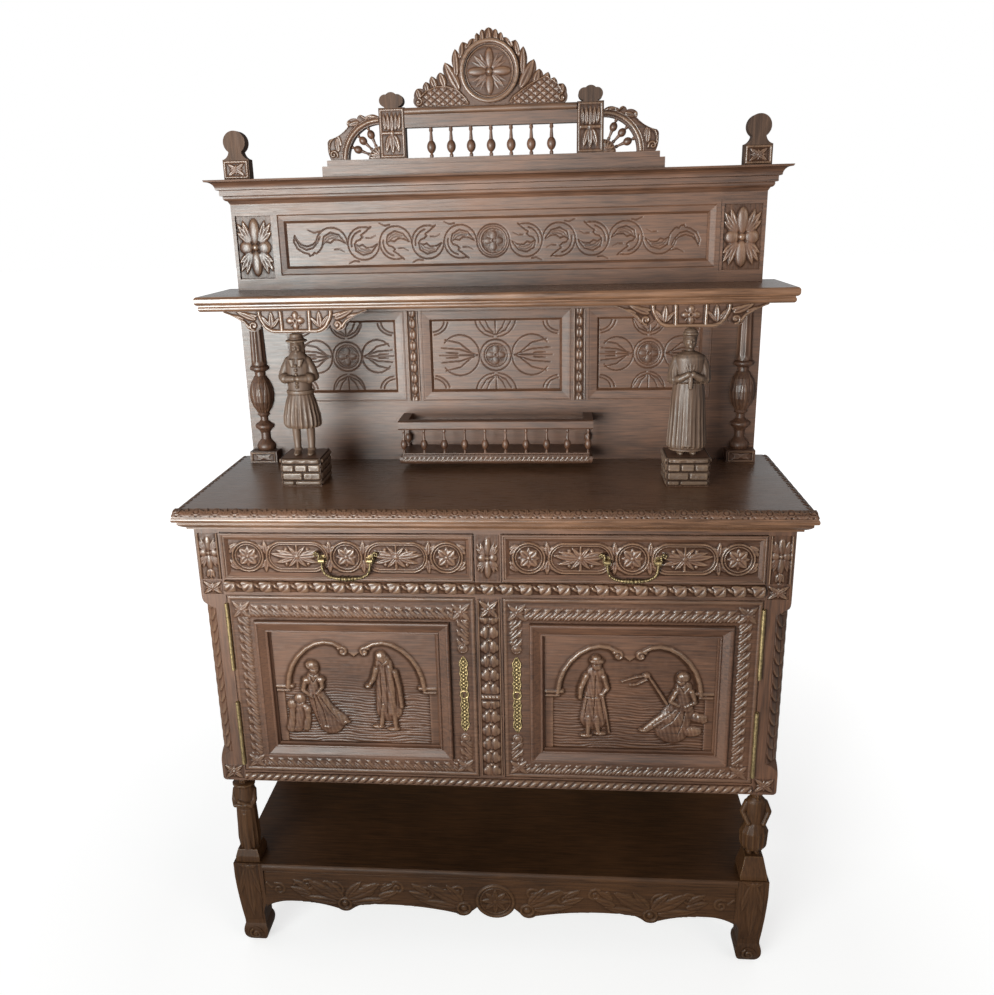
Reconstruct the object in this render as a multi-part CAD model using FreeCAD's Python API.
import FreeCAD, Part
import math
import os

# Carved oak buffet: a two-door, two-drawer cupboard on legs with a low shelf, and a stepped back
# with a gallery, two standing figures, a middle shelf, a frieze, a cornice and an open crest.
# Millimetres. X runs to the viewer's right, the front faces -Y, Z is up from the floor.
# The origin is on the floor, at the middle of the width and of the depth.

V = FreeCAD.Vector

# Counter
COUNTER_WIDTH = 1360.0
COUNTER_DEPTH = 460.0
COUNTER_THICKNESS = 48.0
COUNTER_SIDE_OVERHANG = 36.0
COUNTER_FRONT_OVERHANG = 32.0

# Heights of the stages, from the floor up
LEG_HEIGHT = 245.0
CARYATID_HEIGHT = 235.0
CARYATID_GIRTH = 1.12
BASE_RAIL_HEIGHT = 28.0
DOOR_OPENING_HEIGHT = 451.0
DRAWER_RAIL_HEIGHT = 36.0
DRAWER_OPENING_HEIGHT = 112.0
TOP_RAIL_HEIGHT = 10.0
BACK_STAGE_HEIGHT = 397.0
MIDDLE_SHELF_THICKNESS = 33.0
FRIEZE_HEIGHT = 199.0
CORNICE_HEIGHT = 55.0

# Legs, apron and low shelf
LEG_WIDTH = 72.0
LEG_PROUD = 4.0
FOOT_WIDTH = 60.0
FOOT_HEIGHT = 58.0
ANKLE_WIDTH = 52.0
LOW_SHELF_THICKNESS = 20.0
LOW_SHELF_NOSE = 8.0
LOW_SHELF_SIDE_SETBACK = 10.0
APRON_THICKNESS = 22.0
APRON_HEIGHT = 90.0
APRON_SCROLL_RADIUS = 22.0
APRON_MEDALLION_RADIUS = 50.0
APRON_MEDALLION_DROP = 116.0
SIDE_APRON_HEIGHT = 70.0
SIDE_APRON_RISE = 26.0

# Carcass members
CORNER_POST_WIDTH = 56.0
CORNER_POST_DEPTH = 60.0
POST_CHAMFER = 30.0
POST_CHAMFER_STOP = 34.0
POST_FOOT_BLOCK = 46.0
POST_TOE_RADIUS = 9.0
CENTRE_STILE_WIDTH = 58.0
FRONT_MEMBER_DEPTH = 40.0
REAR_POST_WIDTH = 52.0
REAR_POST_DEPTH = 50.0
BACK_BOARD_THICKNESS = 14.0
BACK_BOARD_SETBACK = 4.0
SIDE_SETBACK = 4.0
SIDE_RAIL_THICKNESS = 26.0
SIDE_RAIL_HEIGHT = 66.0
SIDE_PANEL_THICKNESS = 14.0
SIDE_PANEL_SINK = 6.0
SIDE_FIELD_BORDER = 34.0
FLOOR_THICKNESS = 22.0
INNER_SHELF_THICKNESS = 18.0
INNER_SHELF_RISE = 222.0
INNER_SHELF_SETBACK = 78.0
CLEAT_SIZE = 15.0
GADROON_PROUD = 8.0
GADROON_HEIGHT = 27.0
BASE_MOULDING_PROUD = 6.0
RUNNER_THICKNESS = 20.0
RUNNER_LEDGE = 16.0
GUIDE_HEIGHT = 35.0

# Doors
DOOR_THICKNESS = 26.0
DOOR_GAP = 1.5
DOOR_STILE_WIDTH = 66.0
DOOR_TOP_RAIL = 66.0
DOOR_BOTTOM_RAIL = 52.0
DOOR_PANEL_THICKNESS = 12.0
DOOR_PANEL_SETBACK = 10.0
BOLECTION_LAP = 8.0
BOLECTION_WIDTH = 33.0
BOLECTION_PROUD = 12.0
BOLECTION_BEVEL = 5.0
BOLECTION_FLAT = 7.0

# Hinges, locks and key plates
HINGE_LENGTH = 165.0
HINGE_BARREL_RADIUS = 4.5
HINGE_FACE_CLEARANCE = 0.4
HINGE_PIN_RADIUS = 2.2
HINGE_PIN_CLEARANCE = 0.06
HINGE_LEAF = 1.2
HINGE_LEAF_DEPTH = 24.0
HINGE_END_INSET = 18.0
KNUCKLE_GAP = 0.5
ESCUTCHEON_LENGTH = 190.0
ESCUTCHEON_WIDTH = 18.0
ESCUTCHEON_THICKNESS = 1.6
KEY_HEIGHT = 214.0
KEYHOLE_RADIUS = 3.6
KEYHOLE_SLOT = 3.4
KEYHOLE_DROP = 12.0
LOCK_WIDTH = 54.0
LOCK_HEIGHT = 72.0
LOCK_THICKNESS = 13.0
BOLT_LENGTH = 44.0
BOLT_HEIGHT = 14.0
BOLT_THICKNESS = 6.0
BOLT_CLEARANCE = 0.4
BOLT_SETBACK = 2.5
MORTISE_DEPTH = 13.0
MORTISE_CLEARANCE = 1.0

# Drawers and their bail handles
DRAWER_GAP = 1.5
DRAWER_RUN_CLEARANCE = 0.3
DRAWER_FRONT_THICKNESS = 22.0
DRAWER_BORDER = 9.0
DRAWER_BORDER_BEVEL = 7.0
DRAWER_BORDER_PROUD = 3.0
DRAWER_FIELD_SINK = 5.0
DRAWER_SIDE_THICKNESS = 12.0
DRAWER_SIDE_DROP = 20.0
DRAWER_SIDE_GAP = 2.5
DRAWER_BACK_GAP = 62.0
DRAWER_BOTTOM_THICKNESS = 7.0
DRAWER_BOTTOM_RISE = 8.0
GUIDE_CLEARANCE = 2.0
HANDLE_SPAN = 106.0
HANDLE_RISE = 51.0
HANDLE_STANDOFF = 12.0
HANDLE_DROP = 44.0
HANDLE_BAR_RADIUS = 3.0
HANDLE_CORNER_RADIUS = 36.0
HANDLE_ELBOW_RADIUS = 5.0
HANDLE_EYE_RADIUS = 5.5
HANDLE_EYE_LENGTH = 12.0
HANDLE_EYE_CLEARANCE = 0.08
HANDLE_END_GAP = 0.8
HANDLE_END_RADIUS = 4.2
HANDLE_ROSETTE_RADIUS = 10.0
HANDLE_ROSETTE_THICKNESS = 2.0
HANDLE_STEM_RADIUS = 3.5
HANDLE_BEAD_RADIUS = 5.0

# Back stage, gallery, figures and half columns
BACK_STAGE_WIDTH = 1260.0
BACK_STAGE_THICKNESS = 37.0
BACK_STILE_WIDTH = 113.0
BACK_TOP_RAIL = 24.0
BACK_LOW_BOARD = 150.0
CHAIN_STILE_WIDTH = 40.0
CHAIN_STILE_CENTRE = 203.0
BACK_PANEL_THICKNESS = 16.0
BACK_PANEL_BORDER = 27.0
BACK_PANEL_LIP = 8.0
BACK_PANEL_SINK = 10.0
GALLERY_WIDTH = 468.0
GALLERY_DEPTH = 93.0
GALLERY_RISE = 13.0
GALLERY_BOARD_THICKNESS = 25.0
GALLERY_SPINDLE_HEIGHT = 59.0
GALLERY_RAIL_SIZE = 22.0
GALLERY_SPINDLES = 10
GALLERY_SPINDLE_RADIUS = 5.8
PLINTH_SIZE = 92.0
PLINTH_HEIGHT = 66.0
PLINTH_COURSES = 3
PLINTH_JOINT = 4.0
FIGURE_SPREAD = 439.0
FIGURE_INSET = 10.0
COLUMN_CENTRE = 593.0
COLUMN_BLOCK_WIDTH = 69.0
COLUMN_BLOCK_HEIGHT = 29.0
COLUMN_RADIUS = 30.0

# Middle shelf and its brackets
MIDDLE_SHELF_WIDTH = 1330.0
MIDDLE_SHELF_DEPTH = 236.0
BRACKET_THICKNESS = 28.0
BRACKET_SETBACK = 5.0
BRACKET_BODY_WIDTH = 168.0
BRACKET_FOOT_WIDTH = 90.0
BRACKET_HEIGHT = 51.0
BRACKET_WING_LENGTH = 81.0
BRACKET_VOLUTE = 11.0

# Frieze and cornice
FRIEZE_WIDTH = 1244.0
FRIEZE_THICKNESS = 54.0
FRIEZE_STILE_WIDTH = 102.0
FRIEZE_TOP_RAIL = 17.0
FRIEZE_BOTTOM_RAIL = 25.0
FRIEZE_MOULDING = 28.0
FRIEZE_MOULDING_PROUD = 3.0
FRIEZE_MOULDING_LIP = 9.0
FRIEZE_MOULDING_SLOPE = 9.0
FRIEZE_PANEL_SINK = 8.0
FRIEZE_PANEL_THICKNESS = 14.0
FRIEZE_BLOCK_BORDER = 8.0
FRIEZE_BLOCK_END = 26.0
FRIEZE_BLOCK_SINK = 5.0
CORNICE_PROJECTION = 45.0

# Crest and corner finials
CREST_Y = 170.0
CREST_THICKNESS = 30.0
CREST_BASE_WIDTH = 776.0
CREST_BASE_DEPTH = 42.0
CREST_PLINTH_HEIGHT = 23.0
CREST_STEP_HEIGHT = 13.0
CREST_STEP_INSET = 11.0
CREST_POST_WIDTH = 59.0
CREST_POST_HEIGHT = 108.0
CREST_POST_OUTER = 252.0
CREST_RAIL_HEIGHT = 41.0
CREST_RAIL_CAP = 14.0
CREST_RAIL_CAP_PROUD = 6.0
CREST_SPINDLE_HEIGHT = 65.0
CREST_SPINDLES = 7
CREST_SPINDLE_RADIUS = 7.0
PEDIMENT_WIDTH = 344.0
PEDIMENT_HEIGHT = 158.0
PEDIMENT_THICKNESS = 24.0
PEDIMENT_END_HEIGHT = 21.0
PEDIMENT_VOLUTE = 13.0
MEDALLION_RADIUS = 66.0
MEDALLION_RISE = 70.0
MEDALLION_PROUD = 7.0
MEDALLION_RIM = 11.0
PEDIMENT_LEAF_BULGE = 0.14
PEDIMENT_LEAVES = (
    (0.945, 0.250, 0.872, 0.245),
    (0.830, 0.335, 0.780, 0.312),
    (0.752, 0.405, 0.690, 0.365),
    (0.640, 0.450, 0.587, 0.418),
    (0.572, 0.575, 0.465, 0.506),
    (0.438, 0.745, 0.384, 0.670),
    (0.340, 0.830, 0.273, 0.800),
    (0.215, 0.868, 0.178, 0.862),
    (0.156, 0.936, 0.116, 0.905),
    (0.090, 0.978, 0.052, 0.958),
)
FAN_RADIUS = 90.0
FAN_RIM = 15.0
FAN_THICKNESS = 24.0
FAN_HUB_RADIUS = 28.0
FAN_LEAF_BULGE = 0.16
FAN_LEAVES = (
    (0.300, 1.030, 0.370, 0.990),
    (0.470, 1.060, 0.560, 0.970),
    (0.810, 0.915, 0.800, 0.790),
)
FAN_FOOT_REACH = 1.35
FAN_SPOKES = 3
FAN_SPOKE_RADIUS = 6.0
FINIAL_WIDTH = 61.0
FINIAL_HEAD_WIDTH = 51.0
FINIAL_BLOCK_HEIGHT = 44.0
FINIAL_NECK_WIDTH = 30.0
FINIAL_NECK_HEIGHT = 17.0
FINIAL_HEAD_HEIGHT = 46.0
FINIAL_CENTRE = 592.0
CREST_HEAD_RADIUS = 15.5
CREST_SIDE_LOBE_RADIUS = 13.0
CREST_FOOT_LOBE_RADIUS = 6.0

# Places worked out from the sizes above
Y_FRONT = -COUNTER_DEPTH / 2
Y_BACK = COUNTER_DEPTH / 2
FACE_Y = Y_FRONT + COUNTER_FRONT_OVERHANG
CARCASS_HALF = COUNTER_WIDTH / 2 - COUNTER_SIDE_OVERHANG
MEMBER_BACK_Y = FACE_Y + FRONT_MEMBER_DEPTH
POST_BACK_Y = FACE_Y + CORNER_POST_DEPTH
POST_INNER_X = CARCASS_HALF - CORNER_POST_WIDTH
STILE_HALF = CENTRE_STILE_WIDTH / 2
REAR_POST_INNER_X = CARCASS_HALF - REAR_POST_WIDTH
REAR_POST_FRONT_Y = Y_BACK - REAR_POST_DEPTH
BACK_BOARD_Y = Y_BACK - BACK_BOARD_SETBACK - BACK_BOARD_THICKNESS
SIDE_OUTER_X = CARCASS_HALF - SIDE_SETBACK
SIDE_INNER_X = SIDE_OUTER_X - SIDE_RAIL_THICKNESS
SIDE_PANEL_INNER_X = SIDE_OUTER_X - SIDE_PANEL_SINK - SIDE_PANEL_THICKNESS
Z_CARCASS = LEG_HEIGHT + CARYATID_HEIGHT
Z_DOOR = Z_CARCASS + BASE_RAIL_HEIGHT
Z_DRAWER_RAIL = Z_DOOR + DOOR_OPENING_HEIGHT
Z_DRAWER = Z_DRAWER_RAIL + DRAWER_RAIL_HEIGHT
Z_TOP_RAIL = Z_DRAWER + DRAWER_OPENING_HEIGHT
Z_CARCASS_TOP = Z_TOP_RAIL + TOP_RAIL_HEIGHT
Z_COUNTER = Z_CARCASS_TOP + COUNTER_THICKNESS
Z_SHELF = Z_COUNTER + BACK_STAGE_HEIGHT
Z_FRIEZE = Z_SHELF + MIDDLE_SHELF_THICKNESS
Z_CORNICE = Z_FRIEZE + FRIEZE_HEIGHT
Z_CREST = Z_CORNICE + CORNICE_HEIGHT
Z_CREST_POST = Z_CREST + CREST_PLINTH_HEIGHT + CREST_STEP_HEIGHT
Z_LOW_SHELF = LEG_HEIGHT
Z_APRON_TOP = Z_LOW_SHELF - LOW_SHELF_THICKNESS
BACK_STAGE_Y = Y_BACK - BACK_STAGE_THICKNESS
FRIEZE_Y = Y_BACK - FRIEZE_THICKNESS
CREST_FACE_Y = CREST_Y - CREST_THICKNESS / 2
LEG_OUTER_X = CARCASS_HALF
LEG_INNER_X = LEG_OUTER_X - LEG_WIDTH
LEG_FRONT_Y = FACE_Y - LEG_PROUD
LEG_BACK_Y = LEG_FRONT_Y + LEG_WIDTH
CARYATID_X = CARCASS_HALF - CORNER_POST_WIDTH * 0.64
CARYATID_Y = FACE_Y + CORNER_POST_DEPTH * 0.52
FIGURE_Y = Y_BACK - MIDDLE_SHELF_DEPTH + FIGURE_INSET
Z_FIGURE = Z_COUNTER + PLINTH_HEIGHT
Z_BRACKET = Z_SHELF - BRACKET_HEIGHT
FIGURE_HEIGHT = Z_BRACKET - Z_FIGURE


class Outline:
    """A flat line of straight runs and arcs, closed when it is filled."""

    def __init__(self, u, v):
        self.start = (u, v)
        self.runs = []

    def line(self, u, v):
        self.runs.append((u, v))
        return self

    def arc(self, u_mid, v_mid, u, v):
        self.runs.append((u_mid, v_mid, u, v))
        return self

    def follow(self, runs, place):
        """Adds runs of (a, b) or (a_mid, b_mid, a, b), each pair placed by a function."""
        for run in runs:
            pairs = [place(run[i], run[i + 1]) for i in range(0, len(run), 2)]
            self.runs.append(tuple(value for pair in pairs for value in pair))
        return self

    def edges(self, place):
        """The runs as edges, with each (u, v) put into space by a function."""
        here = place(*self.start)
        edges = []
        for run in self.runs:
            there = place(*run[-2:])
            if len(run) == 4:
                edges.append(Part.Arc(here, place(*run[:2]), there).toShape())
            else:
                edges.append(Part.LineSegment(here, there).toShape())
            here = there
        return edges

    def face(self, place):
        """The filled outline."""
        edges = self.edges(place)
        first = place(*self.start)
        last = place(*self.runs[-1][-2:])
        if not last.isEqual(first, 1e-6):
            edges.append(Part.LineSegment(last, first).toShape())
        return Part.Face(Part.Wire(edges))


def front_view(y):
    """Places (x, z) on the upright plane at this y."""
    return lambda u, v: V(u, y, v)


def side_view(x):
    """Places (y, z) on the upright plane at this x."""
    return lambda u, v: V(x, u, v)


def box(x0, x1, y0, y1, z0, z1):
    """A block between two corners."""
    return Part.makeBox(x1 - x0, y1 - y0, z1 - z0, V(x0, y0, z0))


def mirrored(shape):
    """The same piece on the other side of the middle plane."""
    return shape.mirror(V(0, 0, 0), V(1, 0, 0))


def pair(shape):
    """A piece and its mirror image, as two solids, right first."""
    return [shape, mirrored(shape)]


def board_front(outline, y0, y1):
    """A board of this thickness, cut to an outline in the front view."""
    return outline.face(front_view(y0)).extrude(V(0, y1 - y0, 0))


def rectangle(x0, x1, z0, z1, y):
    """A rectangular wire in the front view."""
    corners = [V(x0, y, z0), V(x1, y, z0), V(x1, y, z1), V(x0, y, z1), V(x0, y, z0)]
    return Part.makePolygon(corners)


def splay(x0, x1, z0, z1, y_front, front_inset, y_back, back_inset):
    """A block whose four sides slope from one inset at the front to another behind."""
    front = rectangle(x0 + front_inset, x1 - front_inset, z0 + front_inset, z1 - front_inset, y_front)
    back = rectangle(x0 + back_inset, x1 - back_inset, z0 + back_inset, z1 - back_inset, y_back)
    return Part.makeLoft([front, back], True, True)


def moulded_slab(half_width, y_front, y_back, runs):
    """A slab with one moulding along its front and both ends, mitred at the corners.

    The runs go down the moulding from the top edge, as (inset from the tip, height).
    """
    inset_top, z_top = runs[0]
    z_bottom = runs[-1][-1]
    front = Outline(y_back, z_top).line(y_front + inset_top, z_top)
    front.follow(runs[1:], lambda inset, z: (y_front + inset, z))
    front.line(y_back, z_bottom)
    slab = front.face(side_view(-half_width)).extrude(V(2 * half_width, 0, 0))
    end = Outline(-half_width, z_top).line(half_width - inset_top, z_top)
    end.follow(runs[1:], lambda inset, z: (half_width - inset, z))
    end.line(-half_width, z_bottom)
    right = end.face(front_view(y_front)).extrude(V(0, y_back - y_front, 0))
    return slab.common(right).common(mirrored(right))


def turned(runs, x, y, angle=360.0):
    """A turned piece about an upright axis, from runs of (radius, height), lowest first."""
    outline = Outline(0, runs[0][-1]).follow(runs, lambda radius, z: (radius, z))
    outline.line(0, runs[-1][-1])
    face = outline.face(lambda radius, z: V(x + radius, y, z))
    return face.revolve(V(x, y, 0), V(0, 0, 1), angle)


def lofted(sections):
    """A smooth body through level ovals, each (x, y, z, half width, half depth)."""
    wires = []
    for x, y, z, half_width, half_depth in sections:
        oval = Part.Ellipse(V(x, y, z), half_width, min(half_width, half_depth))
        wires.append(Part.Wire(oval.toShape()))
    return Part.makeLoft(wires, True, False)


def limb(start, end, start_radius, end_radius):
    """A tapering limb with round ends."""
    along = end.sub(start)
    cone = Part.makeCone(start_radius, end_radius, along.Length, start, along)
    return [cone, Part.makeSphere(start_radius, start), Part.makeSphere(end_radius, end)]


def fused(pieces):
    """One solid from pieces that run into each other."""
    solid = pieces[0]
    for piece in pieces[1:]:
        solid = solid.fuse(piece)
    return solid.removeSplitter()


def spindle_runs(z, height, radius):
    """A small turned spindle: foot, vase belly, tapering shaft and top collar."""
    return [
        (0.62 * radius, z),
        (0.62 * radius, z + 0.08 * height),
        (0.36 * radius, z + 0.14 * height),
        (1.45 * radius, z + 0.36 * height, 0.62 * radius, z + 0.56 * height),
        (0.42 * radius, z + 0.84 * height),
        (0.66 * radius, z + 0.90 * height),
        (0.52 * radius, z + height),
    ]


# Legs, apron and low shelf

def leg_outline(outer, inward):
    """The leg's shape seen from the front or from the side, outer face first."""
    inner = outer + inward * LEG_WIDTH
    middle = outer + inward * LEG_WIDTH / 2
    ankle = middle - inward * ANKLE_WIDTH / 2
    foot = middle - inward * FOOT_WIDTH / 2
    ankle_in = middle + inward * ANKLE_WIDTH / 2
    foot_in = middle + inward * FOOT_WIDTH / 2
    shoulder = LEG_HEIGHT * 0.84
    toe = inward * FOOT_WIDTH / 4
    outline = Outline(inner, LEG_HEIGHT).line(outer, LEG_HEIGHT).line(outer, shoulder)
    outline.arc(outer + inward * 3.0, (shoulder + FOOT_HEIGHT) * 0.56, ankle, FOOT_HEIGHT + 10.0)
    outline.line(ankle, FOOT_HEIGHT)
    outline.arc(foot, FOOT_HEIGHT / 2, foot + toe, 0)
    outline.line(foot_in - toe, 0)
    outline.arc(foot_in, FOOT_HEIGHT / 2, ankle_in, FOOT_HEIGHT)
    outline.line(ankle_in, FOOT_HEIGHT + 24.0)
    outline.arc(inner - inward * 8.0, shoulder * 0.52, inner, shoulder * 0.60)
    return outline


def front_legs():
    """Two tapered legs on scroll feet, shaped on the front and on the side."""
    from_front = leg_outline(LEG_OUTER_X, -1).face(front_view(LEG_FRONT_Y))
    from_side = leg_outline(LEG_FRONT_Y, 1).face(side_view(LEG_INNER_X))
    leg = from_front.extrude(V(0, LEG_WIDTH, 0)).common(from_side.extrude(V(LEG_WIDTH, 0, 0)))
    return pair(leg)


def rear_posts():
    """Two plain square posts from the floor to the counter."""
    return pair(box(REAR_POST_INNER_X, CARCASS_HALF, REAR_POST_FRONT_Y, Y_BACK, 0, Z_CARCASS_TOP))


def apron_wave(start, end, low, scroll):
    """Half of the apron's lower edge, from the leg to the medallion: two arches and two scrolls."""
    span = start - end
    crown = low + 0.85 * scroll
    outer_scroll = end + 0.62 * span
    inner_scroll = end + 0.06 * span
    return [
        (start - 0.04 * span, low + 0.5 * scroll, start - 0.10 * span, crown),
        (outer_scroll + 2.4 * scroll, low + 0.55 * scroll, outer_scroll + 0.8 * scroll, low + 0.1 * scroll),
        (outer_scroll, low - 0.2 * scroll, outer_scroll - 0.8 * scroll, low + 0.15 * scroll),
        (outer_scroll - 1.8 * scroll, low + 0.70 * scroll, outer_scroll - 3.6 * scroll, crown),
        (inner_scroll + 4.2 * scroll, low + 0.65 * scroll, inner_scroll + 0.9 * scroll, low + 0.1 * scroll),
        (inner_scroll, low - 0.2 * scroll, inner_scroll - 0.8 * scroll, low + 0.4 * scroll),
    ]


def aprons():
    """The scalloped front apron with its round medallion, and two arched side aprons."""
    low = Z_APRON_TOP - APRON_HEIGHT - 0.85 * APRON_SCROLL_RADIUS
    medallion_z = Z_APRON_TOP - APRON_MEDALLION_DROP + APRON_MEDALLION_RADIUS
    medallion_edge = APRON_MEDALLION_RADIUS * math.cos(math.radians(25))
    medallion_side_z = medallion_z - APRON_MEDALLION_RADIUS * math.sin(math.radians(25))
    wave = apron_wave(LEG_INNER_X, medallion_edge, low, APRON_SCROLL_RADIUS)
    half = Outline(0, Z_APRON_TOP).line(LEG_INNER_X, Z_APRON_TOP).line(LEG_INNER_X, low)
    half.follow(wave, lambda x, z: (x, z))
    half.line(medallion_edge, medallion_side_z)
    half.arc(APRON_MEDALLION_RADIUS * 0.7071, medallion_z - APRON_MEDALLION_RADIUS * 0.7071,
             0, medallion_z - APRON_MEDALLION_RADIUS)
    right = board_front(half, FACE_Y, FACE_Y + APRON_THICKNESS)
    front = fused([right, mirrored(right)])
    side_x = CARCASS_HALF - LOW_SHELF_SIDE_SETBACK
    side_low = Z_APRON_TOP - SIDE_APRON_HEIGHT
    middle_y = (LEG_BACK_Y + REAR_POST_FRONT_Y) / 2
    arch = Outline(LEG_BACK_Y, Z_APRON_TOP).line(REAR_POST_FRONT_Y, Z_APRON_TOP)
    arch.line(REAR_POST_FRONT_Y, side_low)
    arch.arc(middle_y, side_low + SIDE_APRON_RISE, LEG_BACK_Y, side_low)
    side = arch.face(side_view(side_x - APRON_THICKNESS)).extrude(V(APRON_THICKNESS, 0, 0))
    return [front] + pair(side)


def low_shelf():
    """The open shelf between the legs, notched round the legs and rear posts."""
    half = CARCASS_HALF - LOW_SHELF_SIDE_SETBACK
    nose_y = FACE_Y - LOW_SHELF_NOSE
    nose = LOW_SHELF_THICKNESS / 4
    runs = [
        (nose, Z_LOW_SHELF),
        (0, Z_LOW_SHELF - LOW_SHELF_THICKNESS / 2, nose, Z_APRON_TOP),
    ]
    edge = Outline(BACK_BOARD_Y, Z_LOW_SHELF).line(nose_y + nose, Z_LOW_SHELF)
    edge.follow(runs[1:], lambda inset, z: (nose_y + inset, z))
    edge.line(BACK_BOARD_Y, Z_APRON_TOP)
    board = edge.face(side_view(-half)).extrude(V(2 * half, 0, 0))
    leg = box(LEG_INNER_X, LEG_OUTER_X, nose_y, LEG_BACK_Y, 0, LEG_HEIGHT)
    post = box(REAR_POST_INNER_X, CARCASS_HALF, REAR_POST_FRONT_Y, Y_BACK, 0, Z_CARCASS)
    for notch in pair(leg) + pair(post):
        board = board.cut(notch)
    return [board]


def back_boards():
    """The back of the cupboard, and below it the back of the open shelf."""
    y0 = BACK_BOARD_Y
    y1 = BACK_BOARD_Y + BACK_BOARD_THICKNESS
    cupboard = box(-REAR_POST_INNER_X, REAR_POST_INNER_X, y0, y1, Z_CARCASS, Z_CARCASS_TOP)
    low = box(-REAR_POST_INNER_X, REAR_POST_INNER_X, y0, y1, Z_APRON_TOP - SIDE_APRON_HEIGHT / 2, Z_CARCASS)
    return [cupboard, low]


def folded_figure(x):
    """The left small figure: a bell cap, a slim neck, a wide collar over folded arms and a straight robe."""
    y = CARYATID_Y
    h = CARYATID_HEIGHT
    g = CARYATID_GIRTH * h

    def at(share):
        return LEG_HEIGHT + share * h

    pieces = [
        splay_block(x, y, 0.113 * g, at(0), 0.113 * g, at(0.065)),
        splay_block(x, y, 0.113 * g, at(0.065), 0.094 * g, at(0.14)),
        lofted([
            (x, y, at(0.12), 0.096 * g, 0.085 * g),
            (x, y, at(0.25), 0.110 * g, 0.095 * g),
            (x, y, at(0.60), 0.094 * g, 0.080 * g),
        ]),
        lofted([
            (x, y, at(0.56), 0.086 * g, 0.072 * g),
            (x, y, at(0.72), 0.103 * g, 0.084 * g),
            (x, y, at(0.87), 0.094 * g, 0.076 * g),
        ]),
        lofted([(x, y, at(0.83), 0.086 * g, 0.070 * g), (x, y, at(0.89), 0.109 * g, 0.086 * g)]),
        lofted([
            (x, y, at(0.84), 0.043 * g, 0.043 * g),
            (x, y, at(0.92), 0.047 * g, 0.047 * g),
            (x, y, at(0.96), 0.043 * g, 0.043 * g),
        ]),
        lofted([(x, y, at(0.945), 0.046 * g, 0.046 * g), (x, y, at(1), 0.084 * g, 0.080 * g)]),
    ]
    for side in (1, -1):
        shoulder = V(x + side * 0.082 * g, y, at(0.82))
        elbow = V(x + side * 0.084 * g, y - 0.030 * g, at(0.67))
        hand = V(x - side * 0.030 * g, y - 0.082 * g, at(0.65))
        pieces += limb(shoulder, elbow, 0.031 * g, 0.029 * g) + limb(elbow, hand, 0.028 * g, 0.022 * g)
    return fused(pieces)


def akimbo_figure(x):
    """The right small figure: hands on hips, a short bell skirt and a tall splayed foot."""
    y = CARYATID_Y
    h = CARYATID_HEIGHT
    g = CARYATID_GIRTH * h

    def at(share):
        return LEG_HEIGHT + share * h

    pieces = [
        splay_block(x, y, 0.119 * g, at(0), 0.119 * g, at(0.05)),
        splay_block(x, y, 0.119 * g, at(0.05), 0.080 * g, at(0.25)),
        lofted([
            (x, y, at(0.31), 0.100 * g, 0.084 * g),
            (x, y, at(0.37), 0.124 * g, 0.104 * g),
            (x, y, at(0.50), 0.130 * g, 0.102 * g),
            (x, y, at(0.61), 0.080 * g, 0.070 * g),
        ]),
        lofted([
            (x, y, at(0.59), 0.074 * g, 0.066 * g),
            (x, y, at(0.74), 0.086 * g, 0.072 * g),
            (x, y, at(0.85), 0.088 * g, 0.068 * g),
            (x, y, at(0.90), 0.046 * g, 0.044 * g),
        ]),
        Part.makeSphere(0.060 * g, V(x, y - 0.004 * g, at(0.930))),
        lofted([(x, y, at(0.965), 0.056 * g, 0.054 * g), (x, y, at(1), 0.086 * g, 0.080 * g)]),
    ]
    for side in (1, -1):
        shoulder = V(x + side * 0.080 * g, y, at(0.85))
        elbow = V(x + side * 0.114 * g, y - 0.012 * g, at(0.72))
        hand = V(x + side * 0.056 * g, y - 0.062 * g, at(0.61))
        pieces += limb(shoulder, elbow, 0.028 * g, 0.026 * g) + limb(elbow, hand, 0.026 * g, 0.022 * g)
        ankle = V(x + side * 0.032 * g, y - 0.010 * g, at(0.24))
        pieces.append(Part.makeCone(0.026 * g, 0.032 * g, 0.10 * h, ankle))
    return fused(pieces)


def caryatid_posts():
    """Two small carved figures that stand on the legs and carry the corner posts, right first."""
    return [akimbo_figure(CARYATID_X), folded_figure(-CARYATID_X)]


def splay_block(x, y, half_bottom, z_bottom, half_top, z_top):
    """A square block that widens or narrows upwards."""
    wires = []
    for half, z in ((half_bottom, z_bottom), (half_top, z_top)):
        corners = [V(x + i * half, y + j * half, z) for i, j in ((-1, -1), (1, -1), (1, 1), (-1, 1), (-1, -1))]
        wires.append(Part.makePolygon(corners))
    return Part.makeLoft(wires, True, True)


# Carcass

def chamfer_cutter():
    """The stopped chamfer that is cut from the right post's outer corner."""
    z0 = Z_CARCASS + POST_FOOT_BLOCK
    z1 = Z_DRAWER_RAIL
    depth = POST_CHAMFER / math.sqrt(2)
    stop = POST_CHAMFER_STOP
    clear = POST_CHAMFER
    ease = 0.28
    outline = Outline(clear, z0).line(0, z0)
    outline.arc(-ease * depth, z0 + 0.62 * stop, -depth, z0 + stop)
    outline.line(-depth, z1 - stop)
    outline.arc(-ease * depth, z1 - 0.62 * stop, 0, z1)
    outline.line(clear, z1)
    corner = V(CARCASS_HALF, FACE_Y, 0)
    outward = V(1, -1, 0).normalize()
    along = V(1, 1, 0).normalize()
    reach = 2 * CORNER_POST_DEPTH
    start = corner - along * reach
    face = outline.face(lambda u, v: start + outward * u + V(0, 0, v))
    return face.extrude(along * 2 * reach)


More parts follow.
